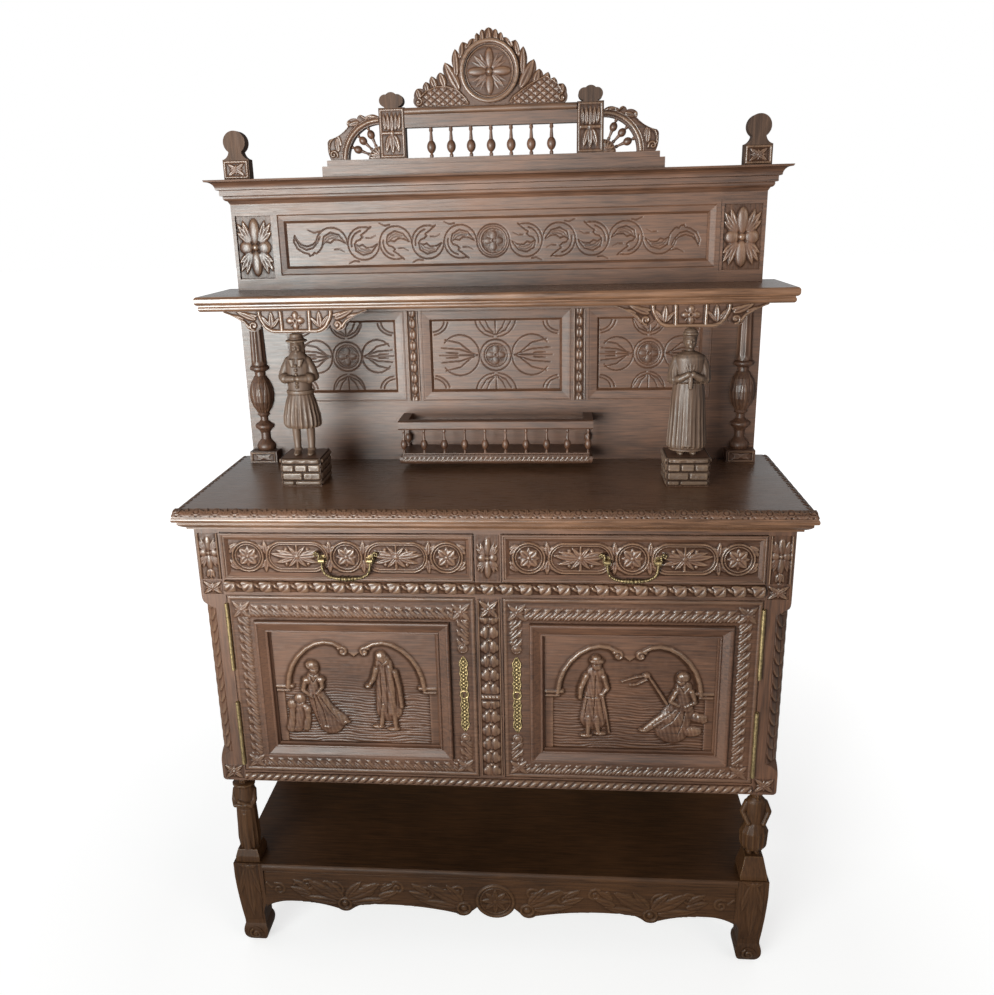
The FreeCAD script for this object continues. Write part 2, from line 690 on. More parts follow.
def corner_posts():
    """Two front corner posts, chamfered beside the doors, mortised for the hinge leaves."""
    post = box(POST_INNER_X, CARCASS_HALF, FACE_Y, POST_BACK_Y, Z_CARCASS, Z_CARCASS_TOP)
    post = post.cut(chamfer_cutter())
    toe = [edge for edge in post.Edges if edge.BoundBox.ZMax < Z_CARCASS + 0.1
           and edge.BoundBox.XMin > CARCASS_HALF - 0.1]
    post = post.makeFillet(POST_TOE_RADIUS, toe)
    for z in hinge_heights():
        post = post.cut(hinge_leaf(z, POST_INNER_X, POST_INNER_X + HINGE_LEAF))
    return pair(post)


def centre_stiles():
    """The stile between the doors, mortised for both bolts, and the block between the drawers."""
    stile = box(-STILE_HALF, STILE_HALF, FACE_Y, MEMBER_BACK_Y, Z_DOOR, Z_DRAWER_RAIL)
    for mortise in pair(bolt_mortise()):
        stile = stile.cut(mortise)
    block = box(-STILE_HALF, STILE_HALF, FACE_Y, MEMBER_BACK_Y, Z_DRAWER, Z_TOP_RAIL)
    return [stile, block]


def bulged_rail(z0, z1, bulge_bottom, bulge_height, proud):
    """A front rail between the corner posts, with a rounded moulding along its face."""
    outline = Outline(MEMBER_BACK_Y, z0).line(FACE_Y, z0).line(FACE_Y, bulge_bottom)
    outline.arc(FACE_Y - proud, bulge_bottom + bulge_height / 2, FACE_Y, bulge_bottom + bulge_height)
    outline.line(FACE_Y, z1).line(MEMBER_BACK_Y, z1)
    return outline.face(side_view(-POST_INNER_X)).extrude(V(2 * POST_INNER_X, 0, 0))


def front_rails():
    """The rails over the drawers, under the drawers and under the doors."""
    top = box(-POST_INNER_X, POST_INNER_X, FACE_Y, MEMBER_BACK_Y, Z_TOP_RAIL, Z_CARCASS_TOP)
    gadroon_z = Z_DRAWER - GADROON_HEIGHT - 1.0
    drawer_rail = bulged_rail(Z_DRAWER_RAIL, Z_DRAWER, gadroon_z, GADROON_HEIGHT, GADROON_PROUD)
    base_height = BASE_RAIL_HEIGHT * 0.72
    base_rail = bulged_rail(Z_CARCASS, Z_DOOR, Z_CARCASS + 3.0, base_height, BASE_MOULDING_PROUD)
    return [top, drawer_rail, base_rail]


def side_rails():
    """The upper and lower rails of the two ends."""
    y0 = POST_BACK_Y
    y1 = REAR_POST_FRONT_Y
    low = box(SIDE_INNER_X, SIDE_OUTER_X, y0, y1, Z_CARCASS, Z_CARCASS + SIDE_RAIL_HEIGHT)
    high = box(SIDE_INNER_X, SIDE_OUTER_X, y0, y1, Z_CARCASS_TOP - SIDE_RAIL_HEIGHT, Z_CARCASS_TOP)
    return pair(low) + pair(high)


def side_panels():
    """A raised and fielded panel in each end."""
    y0 = POST_BACK_Y
    y1 = REAR_POST_FRONT_Y
    z0 = Z_CARCASS + SIDE_RAIL_HEIGHT
    z1 = Z_CARCASS_TOP - SIDE_RAIL_HEIGHT
    x1 = SIDE_OUTER_X - SIDE_PANEL_SINK
    slab = box(SIDE_PANEL_INNER_X, x1, y0, y1, z0, z1)
    wires = []
    for inset, x in ((SIDE_FIELD_BORDER / 2, x1), (SIDE_FIELD_BORDER, SIDE_OUTER_X)):
        corners = [(y0 + inset, z0 + inset), (y1 - inset, z0 + inset), (y1 - inset, z1 - inset),
                   (y0 + inset, z1 - inset), (y0 + inset, z0 + inset)]
        wires.append(Part.makePolygon([V(x, y, z) for y, z in corners]))
    return pair(fused([slab, Part.makeLoft(wires, True, True)]))


def inside_board(x_half, y_front, z0, z1):
    """A board inside the carcass that reaches the back and is notched round all four posts."""
    board = box(-x_half, x_half, y_front, BACK_BOARD_Y, z0, z1)
    front_post = box(POST_INNER_X, CARCASS_HALF, FACE_Y, POST_BACK_Y, z0, z1)
    rear_post = box(REAR_POST_INNER_X, CARCASS_HALF, REAR_POST_FRONT_Y, Y_BACK, z0, z1)
    for post in pair(front_post) + pair(rear_post):
        board = board.cut(post)
    return board


def cabinet_floor():
    """The floor of the cupboard, flush with the base rail."""
    return [inside_board(SIDE_INNER_X, MEMBER_BACK_Y, Z_DOOR - FLOOR_THICKNESS, Z_DOOR)]


def inner_shelf():
    """The shelf inside the cupboard, and a cleat under each end."""
    z0 = Z_DOOR + INNER_SHELF_RISE
    y0 = FACE_Y + INNER_SHELF_SETBACK
    shelf = inside_board(SIDE_PANEL_INNER_X, y0, z0, z0 + INNER_SHELF_THICKNESS)
    cleat = box(SIDE_PANEL_INNER_X - CLEAT_SIZE, SIDE_PANEL_INNER_X, y0, REAR_POST_FRONT_Y, z0 - CLEAT_SIZE, z0)
    return [shelf] + pair(cleat)


def drawer_runners():
    """Three runners with guides: one at each end and a shared one in the middle."""
    z0 = Z_DRAWER - RUNNER_THICKNESS
    z1 = Z_DRAWER + GUIDE_HEIGHT
    side_outer = POST_INNER_X - DRAWER_GAP - DRAWER_SIDE_GAP
    side_inner = STILE_HALF + DRAWER_GAP + DRAWER_SIDE_GAP
    ledge = RUNNER_LEDGE + DRAWER_SIDE_THICKNESS
    foot = box(side_outer - RUNNER_LEDGE, SIDE_PANEL_INNER_X, MEMBER_BACK_Y, BACK_BOARD_Y, z0, Z_DRAWER)
    guide = box(side_outer + GUIDE_CLEARANCE, SIDE_PANEL_INNER_X, MEMBER_BACK_Y, BACK_BOARD_Y, Z_DRAWER, z1)
    end = fused([foot, guide])
    end = end.cut(box(POST_INNER_X, CARCASS_HALF, FACE_Y, POST_BACK_Y, z0, z1))
    end = end.cut(box(REAR_POST_INNER_X, CARCASS_HALF, REAR_POST_FRONT_Y, Y_BACK, z0, z1))
    middle_foot = side_inner + ledge
    middle_guide = side_inner - GUIDE_CLEARANCE
    foot = box(-middle_foot, middle_foot, MEMBER_BACK_Y, BACK_BOARD_Y, z0, Z_DRAWER)
    guide = box(-middle_guide, middle_guide, MEMBER_BACK_Y, BACK_BOARD_Y, Z_DRAWER, z1)
    return pair(end) + [fused([foot, guide])]


def counter_top():
    """The counter, with an ovolo, a bead and a cavetto along its front and ends."""
    z = Z_COUNTER
    t = COUNTER_THICKNESS
    side = COUNTER_SIDE_OVERHANG
    runs = [
        (0.68 * side, z),
        (0.30 * side, z - 0.07 * t, 0.05 * side, z - 0.33 * t),
        (0, z - 0.44 * t, 0.05 * side, z - 0.54 * t),
        (0.25 * side, z - 0.56 * t),
        (0.25 * side, z - 0.70 * t),
        (0.42 * side, z - 0.82 * t, 0.66 * side, z - 0.92 * t),
        (0.66 * side, z - t),
    ]
    return [moulded_slab(COUNTER_WIDTH / 2, Y_FRONT, Y_BACK, runs)]


# Doors, hinges and locks

DOOR_X0 = STILE_HALF + DOOR_GAP
DOOR_X1 = POST_INNER_X - DOOR_GAP
DOOR_Z0 = Z_DOOR + DOOR_GAP
DOOR_Z1 = Z_DRAWER_RAIL - DOOR_GAP
DOOR_BACK_Y = FACE_Y + DOOR_THICKNESS
OPEN_X0 = DOOR_X0 + DOOR_STILE_WIDTH
OPEN_X1 = DOOR_X1 - DOOR_STILE_WIDTH
OPEN_Z0 = DOOR_Z0 + DOOR_BOTTOM_RAIL
OPEN_Z1 = DOOR_Z1 - DOOR_TOP_RAIL
PANEL_Y = FACE_Y + DOOR_PANEL_SETBACK
HINGE_X = POST_INNER_X - DOOR_GAP / 2
HINGE_Y = FACE_Y - HINGE_BARREL_RADIUS - HINGE_FACE_CLEARANCE
KEY_X = DOOR_X0 + (DOOR_STILE_WIDTH - BOLECTION_LAP) / 2
KEY_Z = Z_DOOR + KEY_HEIGHT
LOCK_X0 = DOOR_X0 + BOLT_SETBACK
BOLT_Y0 = DOOR_BACK_Y + (LOCK_THICKNESS - BOLT_THICKNESS) / 2


def hinge_heights():
    """The bottom of each hinge barrel: one near the top of the door, one near its foot."""
    return (DOOR_Z0 + HINGE_END_INSET, DOOR_Z1 - HINGE_END_INSET - HINGE_LENGTH)


def hinge_leaf(z, x0, x1):
    """A leaf let into the edge of the post or of the door, along one whole barrel."""
    return box(x0, x1, HINGE_Y, FACE_Y + HINGE_LEAF_DEPTH, z, z + HINGE_LENGTH)


def hinge_half(z, length, bore, leaf):
    """One half of a barrel with its leaf."""
    barrel = Part.makeCylinder(HINGE_BARREL_RADIUS, length, V(HINGE_X, HINGE_Y, z))
    half = barrel.fuse(leaf)
    if bore:
        radius = HINGE_PIN_RADIUS + HINGE_PIN_CLEARANCE
        half = half.cut(Part.makeCylinder(radius, length, V(HINGE_X, HINGE_Y, z)))
    return half


def hinge_pins():
    """The lower barrel, pin and leaf of each hinge, on the corner posts."""
    length = HINGE_LENGTH / 2
    x0 = POST_INNER_X
    pieces = []
    for z in hinge_heights():
        arm = box(x0, x0 + HINGE_LEAF, HINGE_Y, FACE_Y, z, z + length)
        blade = box(x0, x0 + HINGE_LEAF, FACE_Y, FACE_Y + HINGE_LEAF_DEPTH, z, z + HINGE_LENGTH)
        half = hinge_half(z, length, False, fused([arm, blade]))
        pin_length = HINGE_LENGTH / 2 - KNUCKLE_GAP
        pin = Part.makeCylinder(HINGE_PIN_RADIUS, pin_length, V(HINGE_X, HINGE_Y, z + length))
        pieces += pair(fused([half, pin]))
    return pieces


def door_hinges():
    """The upper barrel and leaf of each hinge, on the right door."""
    length = HINGE_LENGTH / 2 - KNUCKLE_GAP
    x1 = DOOR_X1
    pieces = []
    for z in hinge_heights():
        z1 = z + HINGE_LENGTH / 2 + KNUCKLE_GAP
        arm = box(x1 - HINGE_LEAF, x1, HINGE_Y, FACE_Y, z1, z1 + length)
        blade = box(x1 - HINGE_LEAF, x1, FACE_Y, FACE_Y + HINGE_LEAF_DEPTH, z, z + HINGE_LENGTH)
        pieces.append(hinge_half(z1, length, True, fused([arm, blade])))
    return pieces


def keyhole(y0, y1):
    """A round-topped keyhole through the stile or its plate."""
    hole = Part.makeCylinder(KEYHOLE_RADIUS, y1 - y0, V(KEY_X, y0, KEY_Z), V(0, 1, 0))
    slot = box(KEY_X - KEYHOLE_SLOT / 2, KEY_X + KEYHOLE_SLOT / 2, y0, y1, KEY_Z - KEYHOLE_DROP, KEY_Z)
    return hole.fuse(slot)


def door_frame():
    """The right door's two stiles and two rails."""
    hinge_stile = box(OPEN_X1, DOOR_X1, FACE_Y, DOOR_BACK_Y, DOOR_Z0, DOOR_Z1)
    for z in hinge_heights():
        hinge_stile = hinge_stile.cut(hinge_leaf(z, DOOR_X1 - HINGE_LEAF, DOOR_X1))
    lock_stile = box(DOOR_X0, OPEN_X0, FACE_Y, DOOR_BACK_Y, DOOR_Z0, DOOR_Z1)
    lock_stile = lock_stile.cut(keyhole(FACE_Y, DOOR_BACK_Y))
    top = box(OPEN_X0, OPEN_X1, FACE_Y, DOOR_BACK_Y, OPEN_Z1, DOOR_Z1)
    bottom = box(OPEN_X0, OPEN_X1, FACE_Y, DOOR_BACK_Y, DOOR_Z0, OPEN_Z0)
    return [hinge_stile, lock_stile, top, bottom]


def door_panel():
    """The right door's panel, behind its moulding."""
    return [box(OPEN_X0, OPEN_X1, PANEL_Y, PANEL_Y + DOOR_PANEL_THICKNESS, OPEN_Z0, OPEN_Z1)]


def door_moulding():
    """The bolection moulding that laps over the right door's frame and slopes down to its panel."""
    x0 = OPEN_X0 - BOLECTION_LAP
    x1 = OPEN_X1 + BOLECTION_LAP
    z0 = OPEN_Z0 - BOLECTION_LAP
    z1 = OPEN_Z1 + BOLECTION_LAP
    front_y = FACE_Y - BOLECTION_PROUD
    raised = splay(x0, x1, z0, z1, front_y, BOLECTION_BEVEL, FACE_Y, 0)
    tongue = box(OPEN_X0, OPEN_X1, FACE_Y, PANEL_Y, OPEN_Z0, OPEN_Z1)
    hollow = splay(x0, x1, z0, z1, front_y, BOLECTION_BEVEL + BOLECTION_FLAT, PANEL_Y, BOLECTION_WIDTH)
    return [raised.fuse(tongue).removeSplitter().cut(hollow)]


def escutcheon():
    """The right door's long key plate: an oval middle, waists and round ends."""
    half = ESCUTCHEON_WIDTH / 2
    waist = half * 0.55
    end = ESCUTCHEON_LENGTH / 2
    rows = [(0.92, 0.74), (0.56, 0.40), (0.22, 0.0)]
    plate = Outline(KEY_X, KEY_Z - end)
    plate.arc(KEY_X + waist, KEY_Z - rows[0][0] * end, KEY_X + waist * 0.7, KEY_Z - rows[0][1] * end)
    plate.arc(KEY_X + half, KEY_Z - rows[1][0] * end, KEY_X + waist, KEY_Z - rows[2][0] * end)
    plate.arc(KEY_X + half, KEY_Z, KEY_X + waist, KEY_Z + rows[2][0] * end)
    plate.arc(KEY_X + half, KEY_Z + rows[1][0] * end, KEY_X + waist * 0.7, KEY_Z + rows[0][1] * end)
    plate.arc(KEY_X + waist, KEY_Z + rows[0][0] * end, KEY_X, KEY_Z + end)
    plate.arc(KEY_X - waist, KEY_Z + rows[0][0] * end, KEY_X - waist * 0.7, KEY_Z + rows[0][1] * end)
    plate.arc(KEY_X - half, KEY_Z + rows[1][0] * end, KEY_X - waist, KEY_Z + rows[2][0] * end)
    plate.arc(KEY_X - half, KEY_Z, KEY_X - waist, KEY_Z - rows[2][0] * end)
    plate.arc(KEY_X - half, KEY_Z - rows[1][0] * end, KEY_X - waist * 0.7, KEY_Z - rows[0][1] * end)
    plate.arc(KEY_X - waist, KEY_Z - rows[0][0] * end, KEY_X, KEY_Z - end)
    solid = board_front(plate, FACE_Y - ESCUTCHEON_THICKNESS, FACE_Y)
    return [solid.cut(keyhole(FACE_Y - ESCUTCHEON_THICKNESS, FACE_Y))]


def bolt_box(clearance, x0, x1):
    """The bolt's section, grown by a clearance, over a stretch of x."""
    y0 = BOLT_Y0 - clearance
    y1 = BOLT_Y0 + BOLT_THICKNESS + clearance
    half = BOLT_HEIGHT / 2 + clearance
    return box(x0, x1, y0, y1, KEY_Z - half, KEY_Z + half)


def bolt_mortise():
    """The pocket for the right door's bolt in the side of the centre stile."""
    return bolt_box(MORTISE_CLEARANCE, STILE_HALF - MORTISE_DEPTH, STILE_HALF)


def door_lock():
    """The right door's lock case, with the channel that its bolt slides in."""
    z0 = KEY_Z - LOCK_HEIGHT / 2
    case = box(LOCK_X0, LOCK_X0 + LOCK_WIDTH, DOOR_BACK_Y, DOOR_BACK_Y + LOCK_THICKNESS, z0, z0 + LOCK_HEIGHT)
    return [case.cut(bolt_box(BOLT_CLEARANCE, LOCK_X0, LOCK_X0 + BOLT_LENGTH + BOLT_CLEARANCE))]


def lock_bolt():
    """The right door's bolt, drawn back flush with its case."""
    return [bolt_box(0, LOCK_X0, LOCK_X0 + BOLT_LENGTH)]


# Drawers and handles

DRAWER_X0 = STILE_HALF + DRAWER_GAP
DRAWER_X1 = POST_INNER_X - DRAWER_GAP
DRAWER_FRONT_Z0 = Z_DRAWER + DRAWER_GAP
DRAWER_FRONT_Z1 = Z_TOP_RAIL - DRAWER_GAP
DRAWER_FACE_Y = FACE_Y - DRAWER_BORDER_PROUD
DRAWER_FIELD_Y = DRAWER_FACE_Y + DRAWER_FIELD_SINK
DRAWER_INSIDE_Y = FACE_Y + DRAWER_FRONT_THICKNESS
DRAWER_END_Y = BACK_BOARD_Y - DRAWER_BACK_GAP
DRAWER_BOX_X0 = DRAWER_X0 + DRAWER_SIDE_GAP
DRAWER_BOX_X1 = DRAWER_X1 - DRAWER_SIDE_GAP
HANDLE_X = (DRAWER_X0 + DRAWER_X1) / 2
HANDLE_Y = DRAWER_FIELD_Y - HANDLE_STANDOFF
HANDLE_Z = Z_DRAWER + HANDLE_RISE


def drawer_front():
    """The right drawer's front, with a raised border round its sunk field."""
    x0 = DRAWER_X0
    x1 = DRAWER_X1
    z0 = DRAWER_FRONT_Z0
    z1 = DRAWER_FRONT_Z1
    block = box(x0, x1, DRAWER_FACE_Y, DRAWER_INSIDE_Y, z0, z1)
    inner = DRAWER_BORDER + DRAWER_BORDER_BEVEL
    return [block.cut(splay(x0, x1, z0, z1, DRAWER_FACE_Y, DRAWER_BORDER, DRAWER_FIELD_Y, inner))]


def drawer_box():
    """The right drawer's sides, back and bottom."""
    z0 = Z_DRAWER + DRAWER_RUN_CLEARANCE
    z1 = Z_TOP_RAIL - DRAWER_SIDE_DROP
    x0 = DRAWER_BOX_X0 + DRAWER_SIDE_THICKNESS
    x1 = DRAWER_BOX_X1 - DRAWER_SIDE_THICKNESS
    bottom_z = z0 + DRAWER_BOTTOM_RISE
    back_z = bottom_z + DRAWER_BOTTOM_THICKNESS
    left = box(DRAWER_BOX_X0, x0, DRAWER_INSIDE_Y, DRAWER_END_Y, z0, z1)
    right = box(x1, DRAWER_BOX_X1, DRAWER_INSIDE_Y, DRAWER_END_Y, z0, z1)
    back = box(x0, x1, DRAWER_END_Y - DRAWER_SIDE_THICKNESS, DRAWER_END_Y, back_z, z1)
    bottom = box(x0, x1, DRAWER_INSIDE_Y, DRAWER_END_Y, bottom_z, back_z)
    return [left, right, back, bottom]


def bail_posts():
    """The right drawer's two handle posts: a rosette, a stem and a cross eye."""
    pieces = []
    for side in (-1, 1):
        x = HANDLE_X + side * HANDLE_SPAN / 2
        rosette_y = DRAWER_FIELD_Y - HANDLE_ROSETTE_THICKNESS
        rosette = Part.makeCylinder(HANDLE_ROSETTE_RADIUS, HANDLE_ROSETTE_THICKNESS,
                                    V(x, rosette_y, HANDLE_Z), V(0, 1, 0))
        stem = Part.makeCylinder(HANDLE_STEM_RADIUS, rosette_y - HANDLE_Y, V(x, HANDLE_Y, HANDLE_Z), V(0, 1, 0))
        eye_start = V(x - HANDLE_EYE_LENGTH / 2, HANDLE_Y, HANDLE_Z)
        eye = Part.makeCylinder(HANDLE_EYE_RADIUS, HANDLE_EYE_LENGTH, eye_start, V(1, 0, 0))
        bore_radius = HANDLE_BAR_RADIUS + HANDLE_EYE_CLEARANCE
        bore = Part.makeCylinder(bore_radius, HANDLE_EYE_LENGTH, eye_start, V(1, 0, 0))
        pieces.append(fused([rosette, stem, eye]).cut(bore))
    return pieces


def bail():
    """The right drawer's swinging bail, its ends turned out through the eyes of its posts."""
    corner = HANDLE_CORNER_RADIUS
    elbow = HANDLE_ELBOW_RADIUS
    eye_in = HANDLE_SPAN / 2 - HANDLE_EYE_LENGTH / 2 - HANDLE_END_GAP
    end = HANDLE_SPAN / 2 + HANDLE_EYE_LENGTH / 2 + HANDLE_END_GAP + HANDLE_END_RADIUS
    arm = eye_in - elbow
    low = -HANDLE_DROP
    near = 1 - math.sqrt(0.5)

    def place(x, z):
        return V(HANDLE_X + x, HANDLE_Y, HANDLE_Z + z)

    path = Outline(-end, 0).line(-eye_in, 0)
    path.arc(-arm - near * elbow, -near * elbow, -arm, -elbow).line(-arm, low + corner)
    path.arc(-arm + near * corner, low + near * corner, corner - arm, low).line(arm - corner, low)
    path.arc(arm - near * corner, low + near * corner, arm, low + corner).line(arm, -elbow)
    path.arc(arm + near * elbow, -near * elbow, eye_in, 0).line(end, 0)
    section = Part.Face(Part.Wire(Part.makeCircle(HANDLE_BAR_RADIUS, place(-end, 0), V(1, 0, 0))))
    pieces = [Part.Wire(path.edges(place)).makePipe(section)]
    pieces.append(Part.makeSphere(HANDLE_BEAD_RADIUS, place(0, low), V(1, 0, 0)))
    for side in (-1, 1):
        pieces.append(Part.makeSphere(HANDLE_END_RADIUS, place(side * end, 0), V(1, 0, 0)))
    return [fused(pieces)]


# Back stage

def back_frame():
    """The back's outer stiles, top rail, low board and two chain-carved stiles."""
    y0 = BACK_STAGE_Y
    half = BACK_STAGE_WIDTH / 2
    inner = half - BACK_STILE_WIDTH
    stile = box(inner, half, y0, Y_BACK, Z_COUNTER, Z_SHELF)
    top = box(-inner, inner, y0, Y_BACK, Z_SHELF - BACK_TOP_RAIL, Z_SHELF)
    low = box(-inner, inner, y0, Y_BACK, Z_COUNTER, Z_COUNTER + BACK_LOW_BOARD)
    chain = box(CHAIN_STILE_CENTRE - CHAIN_STILE_WIDTH / 2, CHAIN_STILE_CENTRE + CHAIN_STILE_WIDTH / 2,
                y0, Y_BACK, Z_COUNTER + BACK_LOW_BOARD, Z_SHELF - BACK_TOP_RAIL)
    return pair(stile) + [top, low] + pair(chain)


def back_panel(x0, x1):
    """One panel of the back: a splayed border round a sunk field."""
    z0 = Z_COUNTER + BACK_LOW_BOARD
    z1 = Z_SHELF - BACK_TOP_RAIL
    field_y = BACK_STAGE_Y + BACK_PANEL_SINK
    slab = box(x0, x1, BACK_STAGE_Y, field_y + BACK_PANEL_THICKNESS, z0, z1)
    return slab.cut(splay(x0, x1, z0, z1, BACK_STAGE_Y, BACK_PANEL_LIP, field_y, BACK_PANEL_BORDER))


def back_panels():
    """The three panels between the stiles."""
    chain_in = CHAIN_STILE_CENTRE - CHAIN_STILE_WIDTH / 2
    chain_out = CHAIN_STILE_CENTRE + CHAIN_STILE_WIDTH / 2
    side = back_panel(chain_out, BACK_STAGE_WIDTH / 2 - BACK_STILE_WIDTH)
    return [back_panel(-chain_in, chain_in)] + pair(side)


Z_GALLERY = Z_COUNTER + GALLERY_RISE
Z_GALLERY_BOARD = Z_GALLERY + GALLERY_BOARD_THICKNESS
Z_GALLERY_RAIL = Z_GALLERY_BOARD + GALLERY_SPINDLE_HEIGHT
GALLERY_FRONT_Y = BACK_STAGE_Y - GALLERY_DEPTH


def gallery_shelf():
    """The little shelf's board, fixed to the back, with a rounded edge."""
    z = Z_GALLERY_BOARD
    t = GALLERY_BOARD_THICKNESS
    runs = [
        (0.30 * t, z),
        (0.30 * t, z - 0.22 * t),
        (0.08 * t, z - 0.30 * t),
        (0, z - 0.60 * t, 0.08 * t, z - 0.90 * t),
        (0.16 * t, z - t),
    ]
    return [moulded_slab(GALLERY_WIDTH / 2, GALLERY_FRONT_Y, BACK_STAGE_Y, runs)]


def gallery_rail():
    """The handrail of the little shelf: a front length and two returns to the back."""
    z0 = Z_GALLERY_RAIL
    z1 = z0 + GALLERY_RAIL_SIZE
    half = GALLERY_WIDTH / 2
    y1 = GALLERY_FRONT_Y + GALLERY_RAIL_SIZE
    front = box(-half, half, GALLERY_FRONT_Y, y1, z0, z1)
    front_edges = [edge for edge in front.Edges if edge.BoundBox.YMax < GALLERY_FRONT_Y + 0.1
                   and edge.BoundBox.XLength > half]
    front = front.makeFillet(GALLERY_RAIL_SIZE * 0.2, front_edges)
    arm = box(half - GALLERY_RAIL_SIZE, half, y1, BACK_STAGE_Y, z0, z1)
    return [front] + pair(arm)


def gallery_spindles():
    """The turned spindles under the little shelf's rail: a row in front and one at each end."""
    runs = spindle_runs(Z_GALLERY_BOARD, GALLERY_SPINDLE_HEIGHT, GALLERY_SPINDLE_RADIUS)
    line_y = GALLERY_FRONT_Y + GALLERY_RAIL_SIZE / 2
    half = GALLERY_WIDTH / 2 - GALLERY_RAIL_SIZE / 2
    step = 2 * half / (GALLERY_SPINDLES - 1)
    pieces = [turned(runs, -half + i * step, line_y) for i in range(GALLERY_SPINDLES)]
    rear = turned(runs, half, BACK_STAGE_Y - GALLERY_RAIL_SIZE / 2)
    return pieces + pair(rear)


def figure_plinths():
    """Two blocks on the counter, cut with courses like masonry."""
    half = PLINTH_SIZE / 2
    block = box(FIGURE_SPREAD - half, FIGURE_SPREAD + half, FIGURE_Y - half, FIGURE_Y + half, Z_COUNTER, Z_FIGURE)
    core_half = half - PLINTH_JOINT / 2
    for course in range(1, PLINTH_COURSES):
        z = Z_COUNTER + course * PLINTH_HEIGHT / PLINTH_COURSES
        groove = box(FIGURE_SPREAD - half, FIGURE_SPREAD + half, FIGURE_Y - half, FIGURE_Y + half,
                     z - PLINTH_JOINT / 2, z + PLINTH_JOINT / 2)
        core = box(FIGURE_SPREAD - core_half, FIGURE_SPREAD + core_half, FIGURE_Y - core_half,
                   FIGURE_Y + core_half, z - PLINTH_JOINT / 2, z + PLINTH_JOINT / 2)
        block = block.cut(groove.cut(core))
    return pair(block)


def figure_arms(x, shoulder_width, shoulder_share, elbow_width, elbow_share):
    """Two bent arms whose hands meet in front, from shares of the figure's height."""
    h = FIGURE_HEIGHT
    pieces = []
    for side in (1, -1):
        shoulder = V(x + side * shoulder_width * h, FIGURE_Y, Z_FIGURE + shoulder_share * h)
        elbow = V(x + side * elbow_width * h, FIGURE_Y - 0.012 * h, Z_FIGURE + elbow_share * h)
        hand = V(x + side * 0.018 * h, FIGURE_Y - 0.105 * h, Z_FIGURE + 0.640 * h)
        pieces += limb(shoulder, elbow, 0.040 * h, 0.038 * h) + limb(elbow, hand, 0.036 * h, 0.024 * h)
    return pieces


def standing(x, shares):
    """A lofted part of a standing figure, from (height, half width, half depth) as shares of its height."""
    h = FIGURE_HEIGHT
    return lofted([(x, FIGURE_Y, Z_FIGURE + up * h, width * h, depth * h) for up, width, depth in shares])


def shoes(x, spread):
    """Two shoes under a figure, the toes to the front."""
    h = FIGURE_HEIGHT
    half = 0.031 * h
    pieces = []
    for side in (1, -1):
        middle = x + side * spread * h
        pieces.append(box(middle - half, middle + half, FIGURE_Y - 0.080 * h, FIGURE_Y + 0.034 * h,
                          Z_FIGURE, Z_FIGURE + 0.036 * h))
    return pieces


def peasant_man():
    """The left figure: brimmed hat, long hair, jacket, full pleated breeches and two legs."""
    x = -FIGURE_SPREAD
    h = FIGURE_HEIGHT
    breeches = standing(x, [(0.235, 0.150, 0.120), (0.260, 0.168, 0.132), (0.330, 0.164, 0.130),
                            (0.440, 0.136, 0.108), (0.550, 0.090, 0.072)])
    torso = standing(x, [(0.515, 0.112, 0.090), (0.630, 0.110, 0.086), (0.750, 0.112, 0.082),
                         (0.820, 0.080, 0.066), (0.860, 0.050, 0.048)])
    head = standing(x, [(0.830, 0.042, 0.042), (0.880, 0.052, 0.052), (0.950, 0.054, 0.054)])
    hair = standing(x, [(0.790, 0.060, 0.040), (0.850, 0.066, 0.046), (0.940, 0.060, 0.048)])
    hat = turned([
        (0.086 * h, Z_FIGURE + 0.938 * h),
        (0.086 * h, Z_FIGURE + 0.952 * h),
        (0.062 * h, Z_FIGURE + 0.957 * h),
        (0.058 * h, Z_FIGURE + h),
    ], x, FIGURE_Y)
    pieces = [breeches, torso, head, hair, hat] + figure_arms(x, 0.076, 0.780, 0.133, 0.655) + shoes(x, 0.058)
    for side in (1, -1):
        ankle = V(x + side * 0.058 * h, FIGURE_Y, Z_FIGURE)
        pieces.append(Part.makeCone(0.026 * h, 0.038 * h, 0.29 * h, ankle))
    return [fused(pieces)]


def peasant_woman():
    """The right figure: close cap, shawl, full sleeves and a long pleated skirt."""
    x = FIGURE_SPREAD
    skirt = standing(x, [(0.030, 0.140, 0.110), (0.060, 0.163, 0.130), (0.200, 0.154, 0.122),
                         (0.440, 0.138, 0.108), (0.575, 0.128, 0.098)])
    torso = standing(x, [(0.560, 0.116, 0.088), (0.680, 0.120, 0.090), (0.770, 0.122, 0.086),
                         (0.805, 0.098, 0.074), (0.850, 0.048, 0.046)])
    head = standing(x, [(0.820, 0.040, 0.040), (0.870, 0.047, 0.047), (0.930, 0.049, 0.049)])
    coif = standing(x, [(0.890, 0.054, 0.053), (0.940, 0.066, 0.060), (1.000, 0.056, 0.050)])
    return [fused([skirt, torso, head, coif] + figure_arms(x, 0.100, 0.755, 0.136, 0.605) + shoes(x, 0.050))]


